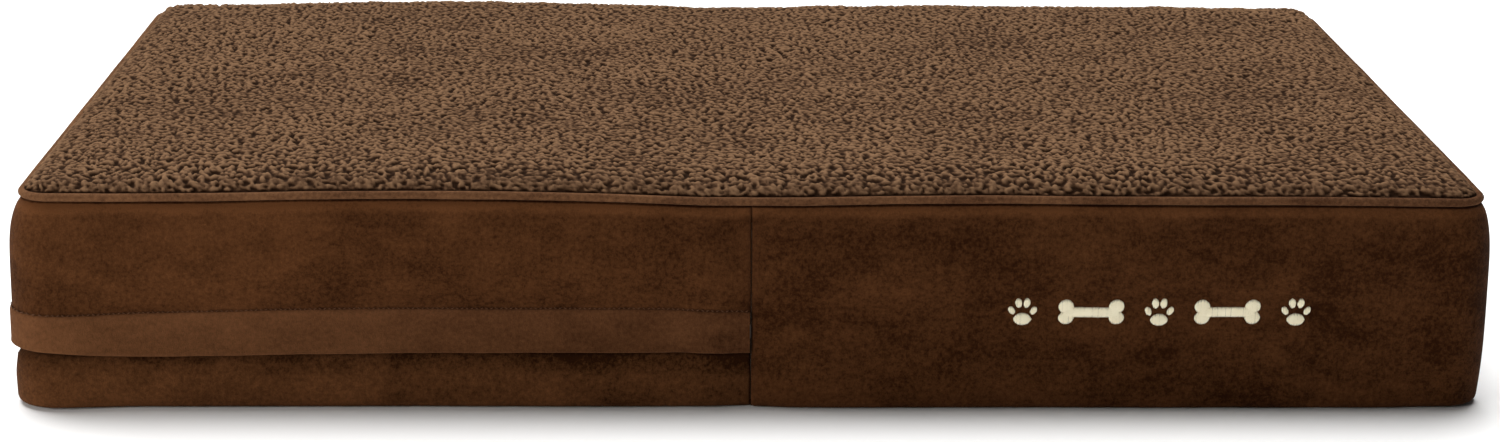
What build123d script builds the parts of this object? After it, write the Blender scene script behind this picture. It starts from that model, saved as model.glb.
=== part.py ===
from build123d import *
import os
from math import cos, radians, sin

# Pet cushion bed: two foam slabs in a waterproof liner, inside a zipped and piped cloth cover.
# Millimetres, +Z up. X runs along the bed, the front faces -Y, and the origin is on the floor under
# the middle of the bed. A height is measured from the floor. A depth is measured outwards from the
# face of the boxing, the cloth wall that goes round the bed, so most pieces have a negative depth.

# ---------------------------------------------------------------- driving sizes of the whole bed
bed_length = 1016.0  # over the piping
bed_width = 635.0  # over the piping
support_foam_height = 100.0
memory_foam_height = 46.0
corner_radius = 22.0  # of the boxing, seen from above
base_edge_radius = 14.0  # where the boxing rolls under the bed to the base seam

# ---------------------------------------------------------------- cloths
suede_thickness = 1.2
base_cloth_thickness = 1.4
liner_thickness = 0.6
fleece_back_thickness = 1.6  # the knitted back alone
fleece_pile_height = 8.4
fleece_shoulder_radius = 7.0
seam_allowance = 12.0  # cloth turned in behind a seam
sewing_gap = 0.2  # between cloths that lie against each other
foam_ease = 0.5  # between the foam and the liner's wall

# ---------------------------------------------------------------- piping round the top edge
piping_cord_diameter = 4.0
piping_cloth_thickness = 0.8

# ---------------------------------------------------------------- outer zip, round the left half
zip_height = 53.0  # middle of the chain
zip_closed_end = 99.0  # from the centre seam to the top stops
zip_open_end = 30.0  # from the back centre seam to the bottom stop
tape_end = 10.0  # from a centre seam to the end of a tape
tape_width = 16.0
tape_thickness = 0.6
coil_thickness = 2.0
coil_row_width = 2.5
coil_row_gap = 1.0  # between the two rows, where the slider's post runs
stop_length = 3.0

# ---------------------------------------------------------------- flap that hides the zip
flap_hinge_height = 66.5  # where the flap bends, just under its topstitching
flap_drop = 28.0  # from the hinge to the flap's folded edge
flap_thickness = 2.0  # two layers of suede
flap_back_depth = -0.4
flap_sewn_end = 20.0  # straight length that a seam or a corner holds down at a flap's end
flap_lift_gap = 0.4  # between a flap that lifts and its held ends
lower_boxing_recess = 2.4  # the boxing under the flap lies this far inside the rest

# ---------------------------------------------------------------- outer slider and its pull tab
slider_length = 11.5
slider_width = 9.6
slider_plate = 0.9
slider_crown = 1.9
slider_from_stop = 8.0  # from the top stops to the middle of the slider when the zip is shut
pull_length = 24.0
pull_width = 5.0
pull_thickness = 1.0
pocket_clearance = 0.4  # between the crown and the flap
chain_clearance = 0.15  # between the chain and the slider
slider_liner_clearance = 0.9  # between the outer slider and the liner

# ---------------------------------------------------------------- liner zip, on the left side
liner_zip_height = 100.0
liner_zip_from_corner = 24.0  # from where a corner begins to each end of the zip
liner_tape_width = 11.0
liner_tape_overhang = 4.0  # past each end of the chain
liner_tape_thickness = 0.4
liner_coil_thickness = 1.5
liner_coil_row_width = 1.7
liner_coil_row_gap = 0.8
liner_slot_clearance = 0.7  # between the liner's slot and the slider
liner_slider_length = 8.5
liner_slider_width = 6.6
liner_slider_plate = 0.6
liner_slider_crown = 1.5
liner_slider_from_end = 14.0  # from the zip's front end to the slider's middle
liner_pull_length = 18.0
liner_pull_width = 4.2
liner_pull_thickness = 0.8

# ---------------------------------------------------------------- stitching and embroidery
stitch_width = 0.6
stitch_height = 0.35
topstitch_rise = 1.6  # from the upper boxing's bottom edge up to its stitching
lower_topstitch_drop = 2.0  # from the lower boxing's top edge down to its stitching
motif_centre = 285.0  # from the centre seam along the front
motif_height = 71.0
motif_thickness = 0.7
paw_size = 24.0
bone_length = 50.0
bone_knob_radius = 5.6
bone_shaft_width = 7.6
motif_gap = 10.5
motif_row = ("paw", "bone", "paw", "bone", "paw")

# ---------------------------------------------------------------- depths worked out from those
piping_radius = piping_cord_diameter / 2 + sewing_gap / 2 + piping_cloth_thickness
sleeve_front = -(2 * suede_thickness + sewing_gap)  # outer face of the sleeve's tail
sleeve_back = sleeve_front - 2 * piping_cloth_thickness
piping_depth = sleeve_back + piping_radius  # centre of the cord
boxing_length = bed_length - 2 * (piping_depth + piping_radius)
boxing_width = bed_width - 2 * (piping_depth + piping_radius)
crown_depth = flap_back_depth - pocket_clearance
coil_front = crown_depth - slider_crown - slider_plate - chain_clearance
tape_front = coil_front - coil_thickness
tape_back = tape_front - tape_thickness
slider_back = tape_back - chain_clearance - slider_plate
liner_depth = slider_back - slider_liner_clearance
foam_depth = liner_depth - liner_thickness - foam_ease
liner_tape_back = liner_depth + sewing_gap / 2
liner_tape_front = liner_tape_back + liner_tape_thickness
liner_coil_front = liner_tape_front + liner_coil_thickness
facing_front = tape_front + sewing_gap + suede_thickness  # cloth that lies on the tape
base_panel_depth = -base_edge_radius - sewing_gap

# ---------------------------------------------------------------- heights worked out from those
liner_base_bottom = base_cloth_thickness + sewing_gap
support_foam_bottom = liner_base_bottom + liner_thickness + sewing_gap
memory_foam_bottom = support_foam_bottom + support_foam_height + sewing_gap
liner_top_bottom = memory_foam_bottom + memory_foam_height + sewing_gap
fleece_bottom = liner_top_bottom + liner_thickness + sewing_gap
piping_height = fleece_bottom - sewing_gap  # centre of the cord
boxing_top = piping_height - piping_radius - sewing_gap
allowance_bottom = boxing_top - seam_allowance
flap_edge_height = flap_hinge_height - flap_drop
upper_boxing_bottom = flap_hinge_height + flap_thickness / 2 + sewing_gap
lower_boxing_top = zip_height - slider_width / 2 - 3 * sewing_gap
upper_facing_bottom = zip_height + slider_width / 2 + 3 * sewing_gap

# ---------------------------------------------------------------- the line that the boxing follows
wall_x = boxing_length / 2
wall_y = boxing_width / 2
straight_x = wall_x - corner_radius  # where a long side meets its corner
straight_y = wall_y - corner_radius
liner_zip_length = 2 * (straight_y - liner_zip_from_corner)
corner_bow = corner_radius * (1 - cos(radians(45)))
FRONT, LEFT, BACK = (0, -1, 0), (-1, 0, 0), (0, 1, 0)
RIGHT_HALF, LEFT_HALF = 1, -1


# ================================================================ shared geometry
def rectangle(depth_in, depth_out, low, high):
    """A rectangular section between two depths and two heights."""
    middle = Pos((depth_in + depth_out) / 2, (low + high) / 2)
    return middle * Rectangle(depth_out - depth_in, high - low)


def upright(origin, outward):
    """A plane for sections: its local X is the depth outwards and its local Y is the height."""
    out = Vector(*outward)
    return Plane(origin=origin, x_dir=out, z_dir=out.cross(Vector(0, 0, 1)))


def facing(origin, outward):
    """A plane for outlines seen from outside: local X to the right, Y up, Z towards the viewer."""
    out = Vector(*outward)
    return Plane(origin=origin, x_dir=Vector(0, 0, 1).cross(out), z_dir=out)


def half_band(section, side, front_start=0.0, back_end=0.0):
    """A section carried round one half of the bed, from the front centre seam to the back one."""
    x, bend_x = side * straight_x, side * (wall_x - corner_bow)
    y, bend_y = straight_y, wall_y - corner_bow
    path = Wire(
        [
            Edge.make_line((side * front_start, -wall_y), (x, -wall_y)),
            Edge.make_three_point_arc((x, -wall_y), (bend_x, -bend_y), (side * wall_x, -y)),
            Edge.make_line((side * wall_x, -y), (side * wall_x, y)),
            Edge.make_three_point_arc((side * wall_x, y), (bend_x, bend_y), (x, wall_y)),
            Edge.make_line((x, wall_y), (side * back_end, wall_y)),
        ]
    )
    return sweep(upright((side * front_start, -wall_y, 0), FRONT) * section, path=path)


def ring(section):
    """A section carried all the way round the bed."""
    return half_band(section, RIGHT_HALF) + half_band(section, LEFT_HALF)


def corner_band(section, end):
    """A section carried round a left corner, with a flap's sewn length straight on each side."""
    x, y = -straight_x, end * straight_y
    bend = (corner_bow - wall_x, end * (wall_y - corner_bow))
    path = Wire(
        [
            Edge.make_line((x + flap_sewn_end, end * wall_y), (x, end * wall_y)),
            Edge.make_three_point_arc((x, end * wall_y), bend, (-wall_x, y)),
            Edge.make_line((-wall_x, y), (-wall_x, y - end * flap_sewn_end)),
        ]
    )
    return sweep(upright((x + flap_sewn_end, end * wall_y, 0), (0, end, 0)) * section, path=path)


def run_of(section, origin, outward, length):
    """A section carried straight along a side, to the left as that side is seen from outside."""
    place = upright(origin, outward)
    return extrude(place * section, amount=length, dir=place.z_dir)


def rolled_wall(depth, low, high, radius, thickness):
    """Section of a cloth wall that drops from a height and curves in under the bed."""
    centre = Pos(depth - radius, low + radius)
    quarter = rectangle(depth - radius, depth, low, low + radius)
    roll = centre * (Circle(radius) - Circle(radius - thickness)) & quarter
    return roll + rectangle(depth - thickness, depth, low + radius, high)


def slab(depth, low, high):
    """A flat sheet or block with the bed's outline, drawn in to that depth."""
    outline = RectangleRounded(
        boxing_length + 2 * depth, boxing_width + 2 * depth, corner_radius + depth
    )
    return extrude(Pos(0, 0, low) * outline, amount=high - low)


# ================================================================ foam core
def foam_core():
    """The firm support foam, with its lower edge rounded over, and the memory foam on it."""
    support = slab(foam_depth, support_foam_bottom, support_foam_bottom + support_foam_height)
    lower_edge = support.faces().sort_by(Axis.Z)[0].edges()
    support = fillet(lower_edge, base_edge_radius + foam_depth)
    memory = slab(foam_depth, memory_foam_bottom, memory_foam_bottom + memory_foam_height)
    return {"support_foam_slab": support, "memory_foam_slab": memory}


# ================================================================ waterproof liner
def liner_panels():
    """Top, base and wall of the liner. The wall has a slot on the left side for its zip."""
    section = rolled_wall(
        liner_depth,
        liner_base_bottom,
        liner_top_bottom - sewing_gap,
        base_edge_radius + liner_depth,
        liner_thickness,
    )
    slot = Pos(-wall_x - liner_depth, 0, liner_zip_height) * Box(
        4 * liner_thickness, liner_zip_length, liner_slider_width + 2 * liner_slot_clearance
    )
    top = slab(liner_depth, liner_top_bottom, liner_top_bottom + liner_thickness)
    base = slab(base_panel_depth, liner_base_bottom, liner_base_bottom + liner_thickness)
    return {"liner_top_panel": top, "liner_base_panel": base, "liner_boxing": ring(section) - slot}


# ================================================================ zips
def row_heights(middle, side, inner, outer):
    """Bottom and top of a strip that lies above (side 1) or below (side -1) a zip's middle."""
    return sorted((middle + side * inner, middle + side * outer))


def liner_zip():
    """The liner's tapes, coils and end stops, sewn over the slot in its left side."""
    inner = liner_coil_row_gap / 2
    outer = inner + liner_coil_row_width
    tape_start = (-wall_x, -liner_zip_length / 2 - liner_tape_overhang, 0)
    coil_start = (-wall_x, -liner_zip_length / 2 + stop_length, 0)
    parts = {}
    for name, side in (("upper", 1), ("lower", -1)):
        tape_rows = row_heights(liner_zip_height, side, inner, liner_tape_width)
        coil_rows = row_heights(liner_zip_height, side, inner, outer)
        tape = rectangle(liner_tape_back, liner_tape_front, *tape_rows)
        coil = rectangle(liner_tape_front, liner_coil_front, *coil_rows)
        parts[f"liner_zip_tape_{name}"] = run_of(
            tape, tape_start, LEFT, liner_zip_length + 2 * liner_tape_overhang
        )
        parts[f"liner_zip_coil_{name}"] = run_of(
            coil, coil_start, LEFT, liner_zip_length - 2 * stop_length
        )
    stop = rectangle(
        liner_tape_front, liner_coil_front, liner_zip_height - outer, liner_zip_height + outer
    )
    starts = (-liner_zip_length / 2, liner_zip_length / 2 - stop_length)
    stops = [run_of(stop, (-wall_x, y, 0), LEFT, stop_length) for y in starts]
    parts["liner_zip_stops"] = Compound(stops)
    return parts


def cover_zip():
    """The cover's tapes, coils and stops, round the left half from front seam to back seam."""
    inner = coil_row_gap / 2
    outer = inner + coil_row_width
    parts, top_stops = {}, []
    for name, side in (("upper", 1), ("lower", -1)):
        coil_rows = row_heights(zip_height, side, inner, outer)
        tape = rectangle(tape_back, tape_front, *row_heights(zip_height, side, inner, tape_width))
        coil = rectangle(tape_front, coil_front, *coil_rows)
        parts[f"zip_tape_{name}"] = half_band(tape, LEFT_HALF, tape_end, tape_end)
        parts[f"zip_coil_{name}"] = half_band(
            coil, LEFT_HALF, zip_closed_end + stop_length, zip_open_end + stop_length
        )
        top_stops.append(run_of(coil, (-zip_closed_end, -wall_y, 0), FRONT, stop_length))
    stop = rectangle(tape_front, coil_front, zip_height - outer, zip_height + outer)
    parts["zip_top_stops"] = Compound(top_stops)
    parts["zip_bottom_stop"] = run_of(
        stop, (-zip_open_end - stop_length, wall_y, 0), BACK, stop_length
    )
    return parts


def slider_body(length, width, plate, crown, back, front, row_gap, row_reach, tape, bore):
    """A zip slider seen from outside, X along the chain, Y up, Z the depth outwards.

    Two shield-shaped plates run behind the tapes and in front of the coils, from depth back to depth
    front. A post joins them between the rows, rails on the front plate keep the rows in, and a crown
    with a bore for the pull tab stands on the front plate.
    """
    nose = width * 0.62
    outline = Polygon(
        (-length / 2, -nose / 2),
        (0, -width / 2),
        (length / 2, -width / 2),
        (length / 2, width / 2),
        (0, width / 2),
        (-length / 2, nose / 2),
        align=None,
    )
    rounded = fillet(outline.vertices(), plate)
    plates = extrude(Pos(0, 0, back) * rounded, amount=plate)
    plates += extrude(Pos(0, 0, front - plate) * rounded, amount=plate)
    post_width = row_gap - 2 * chain_clearance
    post_length = length / 4
    post = Pos(length / 2 - post_length, 0, back) * Box(
        post_length, post_width, front - back, align=(Align.CENTER, Align.CENTER, Align.MIN)
    )
    rail_width = width / 2 - row_reach - 2 * chain_clearance
    rail_bottom = tape + chain_clearance
    rail = Box(
        length / 2, rail_width, front - rail_bottom, align=(Align.MAX, Align.MAX, Align.MIN)
    )
    reach = length / 2 - plate
    rails = Pos(reach, width / 2, rail_bottom) * rail
    rails += Pos(reach, -width / 2 + rail_width, rail_bottom) * rail
    bridge = Pos(0, 0, front) * Box(
        crown * 3.6, crown * 1.3, crown, align=(Align.CENTER, Align.CENTER, Align.MIN)
    )
    ends = bridge.edges().filter_by(Axis.Y).group_by(Axis.Z)[-1]
    bridge = fillet(ends, crown * 0.45)
    eye = Pos(0, 0, front + crown / 2) * Rot(90, 0, 0) * Cylinder(bore, crown * 2)
    return plates + post + rails + bridge - eye


def pull_tab(length, width, thickness, crown, pin):
    """A pull tab that lies along +X from its pin, seen from outside, with its pin at the origin.

    A window goes round the slider's crown, the pin crosses the window's end, and the free end is
    round with a hole through it.
    """
    plate = extrude(
        Pos(0, 0, -thickness / 2)
        * (Pos(length / 2, 0) * Rectangle(length, width) + Pos(length, 0) * Circle(width / 2)),
        amount=thickness,
    )
    window_width = crown * 1.3 + 4 * sewing_gap
    window_length = crown * 1.8 + 3 * sewing_gap
    window = Pos(window_length / 2, 0, 0) * Box(window_length, window_width, 2 * thickness)
    hole = Pos(length, 0, 0) * Cylinder(width / 4, 2 * thickness)
    root = Rot(90, 0, 0) * Cylinder(thickness / 2, width)
    root -= Box(thickness, window_width, thickness)
    return plate + root - window - hole + Rot(90, 0, 0) * Cylinder(pin, width)


def sliders():
    """Both sliders at rest, each shut against its end stop, with their pull tabs lying flat."""
    parts = {}
    bore = 0.3 * pull_thickness + chain_clearance / 2 + 0.2
    body = slider_body(
        slider_length,
        slider_width,
        slider_plate,
        slider_crown,
        slider_back,
        crown_depth - slider_crown,
        coil_row_gap,
        coil_row_gap / 2 + coil_row_width,
        tape_front,
        bore,
    )
    slider_x = -(zip_closed_end + stop_length + slider_from_stop)
    place = facing((slider_x, -wall_y, zip_height), FRONT)
    parts["zip_slider"] = place * body
    tab = pull_tab(pull_length, pull_width, pull_thickness, slider_crown, bore - chain_clearance / 2)
    parts["zip_pull_tab"] = place * Pos(0, 0, crown_depth - slider_crown / 2) * tab

    liner_bore = 0.3 * liner_pull_thickness + 0.2
    liner_crown_foot = liner_coil_front + chain_clearance + liner_slider_plate
    body = slider_body(
        liner_slider_length,
        liner_slider_width,
        liner_slider_plate,
        liner_slider_crown,
        liner_tape_back - chain_clearance - liner_slider_plate,
        liner_crown_foot,
        liner_coil_row_gap,
        liner_coil_row_gap / 2 + liner_coil_row_width,
        liner_tape_front,
        liner_bore,
    )
    slider_y = -liner_zip_length / 2 + liner_slider_from_end
    place = facing((-wall_x, slider_y, liner_zip_height), LEFT)
    parts["liner_zip_slider"] = place * body
    tab = pull_tab(
        liner_pull_length,
        liner_pull_width,
        liner_pull_thickness,
        liner_slider_crown,
        liner_bore - chain_clearance / 2,
    )
    tab_depth = liner_crown_foot + liner_slider_crown / 2
    parts["liner_zip_pull_tab"] = place * Pos(0, 0, tab_depth) * Rot(0, 0, 180) * tab
    return parts


# ================================================================ cover: base, boxing, fleece
def turned_in_end(side, depth, low, high):
    """The end of a half boxing, turned in flat behind the wall at the front and back seams."""
    sheet = rectangle(depth - 2 * suede_thickness, depth - suede_thickness, low, high)
    start = seam_allowance if side == RIGHT_HALF else -sewing_gap / 2
    length = seam_allowance - sewing_gap / 2
    front = run_of(sheet, (start, -wall_y, 0), FRONT, length)
    return front + mirror(front, Plane.XZ)


def boxing():
    """The cloth wall: a plain right half, and a left half that is split by the zip."""
    hem = rectangle(-2 * suede_thickness, -suede_thickness, allowance_bottom, boxing_top)
    seam = sewing_gap / 2
    plain_wall = rolled_wall(0, 0, boxing_top, base_edge_radius, suede_thickness)
    plain = half_band(plain_wall + hem, RIGHT_HALF, seam, seam)
    plain += turned_in_end(RIGHT_HALF, 0, 2 * base_edge_radius, allowance_bottom)

    facing_back = facing_front - suede_thickness
    slant_top = upper_boxing_bottom + flap_thickness
    upper_slant = Polygon(
        (0, slant_top + 2 * suede_thickness),
        (0, slant_top),
        (facing_front, upper_facing_bottom + flap_thickness),
        (facing_front, upper_facing_bottom),
        (facing_back, upper_facing_bottom),
        (facing_back, upper_facing_bottom + flap_thickness),
        (-suede_thickness, slant_top + 2 * suede_thickness),
        align=None,
    )
    upper_wall = rectangle(-suede_thickness, 0, upper_boxing_bottom, boxing_top)
    upper = half_band(upper_wall + upper_slant + hem, LEFT_HALF, seam, seam)
    upper += turned_in_end(LEFT_HALF, 0, slant_top + seam_allowance, allowance_bottom)

    recess = -lower_boxing_recess
    slant_foot = flap_edge_height + sewing_gap
    slant_end = lower_boxing_top - 2 * lower_topstitch_drop
    lower_slant = Polygon(
        (recess, slant_foot),
        (facing_front, slant_end),
        (facing_front, lower_boxing_top),
        (facing_back, lower_boxing_top),
        (facing_back, slant_end),
        (recess - suede_thickness, slant_foot),
        align=None,
    )
    lower_radius = base_edge_radius - lower_boxing_recess
    lower_wall = rolled_wall(recess, 0, slant_foot, lower_radius, suede_thickness)
    lower = half_band(lower_wall + lower_slant, LEFT_HALF, seam, seam)
    lower += turned_in_end(
        LEFT_HALF, recess, 2 * base_edge_radius, slant_foot - 2 * suede_thickness
    )
    return {"plain_boxing": plain, "zip_boxing_upper": upper, "zip_boxing_lower": lower}


def top_and_base():
    """The fleece top panel with its turned-down edge, and the base panel."""
    edge_depth = sleeve_back - sewing_gap
    back_top = fleece_bottom + fleece_back_thickness
    pile = slab(edge_depth, fleece_bottom, back_top + fleece_pile_height)
    pile = fillet(pile.faces().sort_by(Axis.Z)[-1].edges(), fleece_shoulder_radius)
    turned = rectangle(
        edge_depth - fleece_back_thickness, edge_depth, allowance_bottom, fleece_bottom
    )
    base = slab(base_panel_depth, 0, base_cloth_thickness)
    return {"fleece_top_panel": pile + ring(turned), "base_panel": base}


def piping():
    """The piping cord, and the cloth sleeve whose tail is sewn in between boxing and fleece."""
    centre = Pos(piping_depth, piping_height)
    tail = rectangle(sleeve_back, sleeve_front, allowance_bottom, piping_height)
    hollow = centre * Circle(piping_radius - piping_cloth_thickness)
    sleeve = centre * Circle(piping_radius) + tail - hollow
    cord = centre * Circle(piping_cord_diameter / 2)
    return {"piping_sleeve": ring(sleeve), "piping_cord": ring(cord)}


# ================================================================ flap over the zip
def flap():
    """The flap: three straight lengths that lift, and the ends that seams and corners hold."""
    middle_depth = flap_back_depth + flap_thickness / 2
    section = Pos(middle_depth, flap_hinge_height - flap_drop / 2) * (
        Rectangle(flap_thickness, flap_drop)
        + Pos(0, flap_drop / 2) * Circle(flap_thickness / 2)
        + Pos(0, -flap_drop / 2) * Circle(flap_thickness / 2)
    )
    seam = sewing_gap / 2
    held = flap_sewn_end + flap_lift_gap
    long_run = straight_x - 2 * held
    side_run = 2 * (straight_y - held)
    held_run = flap_sewn_end - seam
    return {
        "flap_front": run_of(section, (-held, -wall_y, 0), FRONT, long_run),
        "flap_left": run_of(section, (-wall_x, -side_run / 2, 0), LEFT, side_run),
        "flap_back": run_of(section, (-held - long_run, wall_y, 0), BACK, long_run),
        "flap_end_front_seam": run_of(section, (-seam, -wall_y, 0), FRONT, held_run),
        "flap_end_front_corner": corner_band(section, -1),
        "flap_end_back_corner": corner_band(section, 1),
        "flap_end_back_seam": run_of(section, (-flap_sewn_end, wall_y, 0), BACK, held_run),
    }


# ================================================================ stitching and embroidery
def topstitching():
    """The row above the flap, and the row that sews the lower boxing to the zip tape."""
    upper_row = upper_boxing_bottom + topstitch_rise
    lower_row = lower_boxing_top - lower_topstitch_drop
    half = stitch_width / 2
    upper = rectangle(0, stitch_height, upper_row - half, upper_row + half)
    lower = rectangle(
        facing_front, facing_front + stitch_height, lower_row - half, lower_row + half
    )
    return {
        "flap_topstitching": half_band(upper, LEFT_HALF, sewing_gap, sewing_gap),
        "zip_topstitching": half_band(lower, LEFT_HALF, sewing_gap, sewing_gap),
    }


def paw_outlines():
    """A paw print: a broad pad with four toes in an arc above it."""
    pad = Pos(0, -paw_size * 0.2) * Ellipse(paw_size * 0.33, paw_size * 0.27)
    toes = [
        Pos(paw_size * 0.56 * sin(radians(a)), paw_size * (0.56 * cos(radians(a)) - 0.2))
        * Rot(0, 0, -a)
        * Ellipse(paw_size * 0.11, paw_size * 0.15)
        for a in (-60, -20, 20, 60)
    ]
    return [pad, *toes]


def bone_outline():
    """A bone: a straight shaft with two round knobs at each end."""
    reach = bone_length / 2 - bone_knob_radius
    bone = Rectangle(2 * reach, bone_shaft_width)
    for x in (-reach, reach):
        for y in (-1, 1):
            bone += Pos(x, y * bone_knob_radius * 0.75) * Circle(bone_knob_radius)
    return bone


def embroidery():
    """A raised row of paw prints and bones on the right half of the front."""
    widths = {"paw": paw_size, "bone": bone_length}
    total = sum(widths[name] for name in motif_row) + motif_gap * (len(motif_row) - 1)
    shapes, x = [], -total / 2
    for name in motif_row:
        outlines = paw_outlines() if name == "paw" else [bone_outline()]
        middle = x + widths[name] / 2
        shapes += [extrude(Pos(middle, 0) * o, amount=motif_thickness) for o in outlines]
        x += widths[name] + motif_gap
    place = facing((motif_centre, -wall_y, motif_height), FRONT)
    return {"embroidered_motif": place * Compound(children=shapes)}


# ================================================================ all the pieces
nodes = {
    **foam_core(),
    **liner_panels(),
    **liner_zip(),
    **top_and_base(),
    **boxing(),
    **piping(),
    **cover_zip(),
    **sliders(),
    **flap(),
    **topstitching(),
    **embroidery(),
}
os.makedirs("parts", exist_ok=True)
for name, shape in nodes.items():
    export_step(shape, f"parts/{name}.step")
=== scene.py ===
import math

import bpy
import numpy as np
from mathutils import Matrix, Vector


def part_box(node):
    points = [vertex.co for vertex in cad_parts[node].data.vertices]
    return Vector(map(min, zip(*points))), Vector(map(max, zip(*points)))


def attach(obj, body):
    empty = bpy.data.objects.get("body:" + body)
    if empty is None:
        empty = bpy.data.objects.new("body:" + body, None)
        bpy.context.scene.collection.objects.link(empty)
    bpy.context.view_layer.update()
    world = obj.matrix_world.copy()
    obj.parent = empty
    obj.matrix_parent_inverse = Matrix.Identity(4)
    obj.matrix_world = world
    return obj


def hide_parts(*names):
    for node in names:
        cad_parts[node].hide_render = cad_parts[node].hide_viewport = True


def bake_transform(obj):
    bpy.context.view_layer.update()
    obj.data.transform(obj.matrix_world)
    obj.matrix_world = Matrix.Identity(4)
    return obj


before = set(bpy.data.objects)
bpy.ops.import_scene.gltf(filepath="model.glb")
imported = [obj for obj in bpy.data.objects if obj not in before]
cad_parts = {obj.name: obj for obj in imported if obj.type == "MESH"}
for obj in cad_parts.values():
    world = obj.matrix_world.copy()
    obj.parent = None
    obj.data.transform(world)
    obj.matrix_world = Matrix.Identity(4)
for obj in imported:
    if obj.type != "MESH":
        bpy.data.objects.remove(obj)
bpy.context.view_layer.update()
scene = bpy.context.scene


# -------- view, floor and light
# A pale studio floor, a wide soft light overhead and a smaller, weaker one at the left.
# The camera stands in front of the bed and a little above it, with a long lens.
lens = bpy.data.cameras.new("camera")
lens.lens, lens.sensor_width, lens.shift_x = 74.29, 36, 0.04867
camera = bpy.data.objects.new("camera", lens)
camera.location = (-0.0514, -2.3693, 0.70045)
camera.rotation_euler = (math.radians(90 - 15.40), 0, 0)
scene.collection.objects.link(camera)
scene.camera = camera

scene.view_settings.view_transform = "Standard"
scene.world = scene.world or bpy.data.worlds.new("studio")
scene.world.use_nodes = True
studio = scene.world.node_tree.nodes["Background"]
studio.inputs["Color"].default_value = (1, 0.99, 0.98, 1)
studio.inputs["Strength"].default_value = 0.06


def soft_light(name, kind, place, aim, size, power, colour):
    """A wide light turned to face its aim. Its size is a width, or for a sun an angle."""
    lamp = bpy.data.lights.new(name, kind)
    lamp.energy, lamp.color = power, colour
    setattr(lamp, "angle" if kind == "SUN" else "size", size)
    light = bpy.data.objects.new(name, lamp)
    light.location = place
    light.rotation_euler = (Vector(place) - Vector(aim)).to_track_quat("Z", "Y").to_euler()
    scene.collection.objects.link(light)


soft_light("top_light", "SUN", (-0.4, 1.4, 3.0), (0, 0, 0), math.radians(58), 5.9, (1, 0.995, 0.99))
soft_light("left_light", "AREA", (-1.9, -2.0, 0.85), (-0.3, -0.3, 0.05), 0.9, 33, (1, 0.97, 0.93))

floor_reach, floor_level, floor_grey = 9, -0.0004, (0.92, 0.92, 0.92, 1)
floor_corners = [(side * floor_reach, end * floor_reach, floor_level)
                 for side, end in ((-1, -1), (1, -1), (1, 1), (-1, 1))]
floor_mesh = bpy.data.meshes.new("floor")
floor_mesh.from_pydata(floor_corners, [], [(0, 1, 2, 3)])
floor = bpy.data.objects.new("floor", floor_mesh)
scene.collection.objects.link(floor)
floor_paint = bpy.data.materials.new("floor")
floor_paint.use_nodes = True
floor_shader = floor_paint.node_tree.nodes["Principled BSDF"]
floor_shader.inputs["Base Color"].default_value = floor_grey
floor_shader.inputs["Roughness"].default_value = 0.9
floor_mesh.materials.append(floor_paint)


# -------- foam core
# Two blocks that fill the bed: firm support foam, its lower edge cut round, and memory foam
# laid loose on it. Both are cut from a bigger block, so the pores are open on every side.
wall_x, wall_y = (float(reach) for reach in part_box("plain_boxing")[1][:2])
corner_radius = 0.022
straight_x, straight_y = wall_x - corner_radius, wall_y - corner_radius
corner_arc = corner_radius * math.pi / 2
half_round = 2 * (straight_x + corner_arc + straight_y)
full_round = 2 * half_round


class Value:
    """A value in a material. Arithmetic on it adds Math nodes."""

    def __init__(self, finish, socket):
        self.finish, self.socket = finish, socket

    def math(self, operation, first, second):
        return self.finish.node("Math", {"operation": operation}, {0: first, 1: second})

    def __add__(self, other):
        return self.math("ADD", self, other)

    def __sub__(self, other):
        return self.math("SUBTRACT", self, other)

    def __rsub__(self, other):
        return self.math("SUBTRACT", other, self)

    def __mul__(self, other):
        return self.math("MULTIPLY", self, other)

    __radd__, __rmul__ = __add__, __mul__


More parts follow.
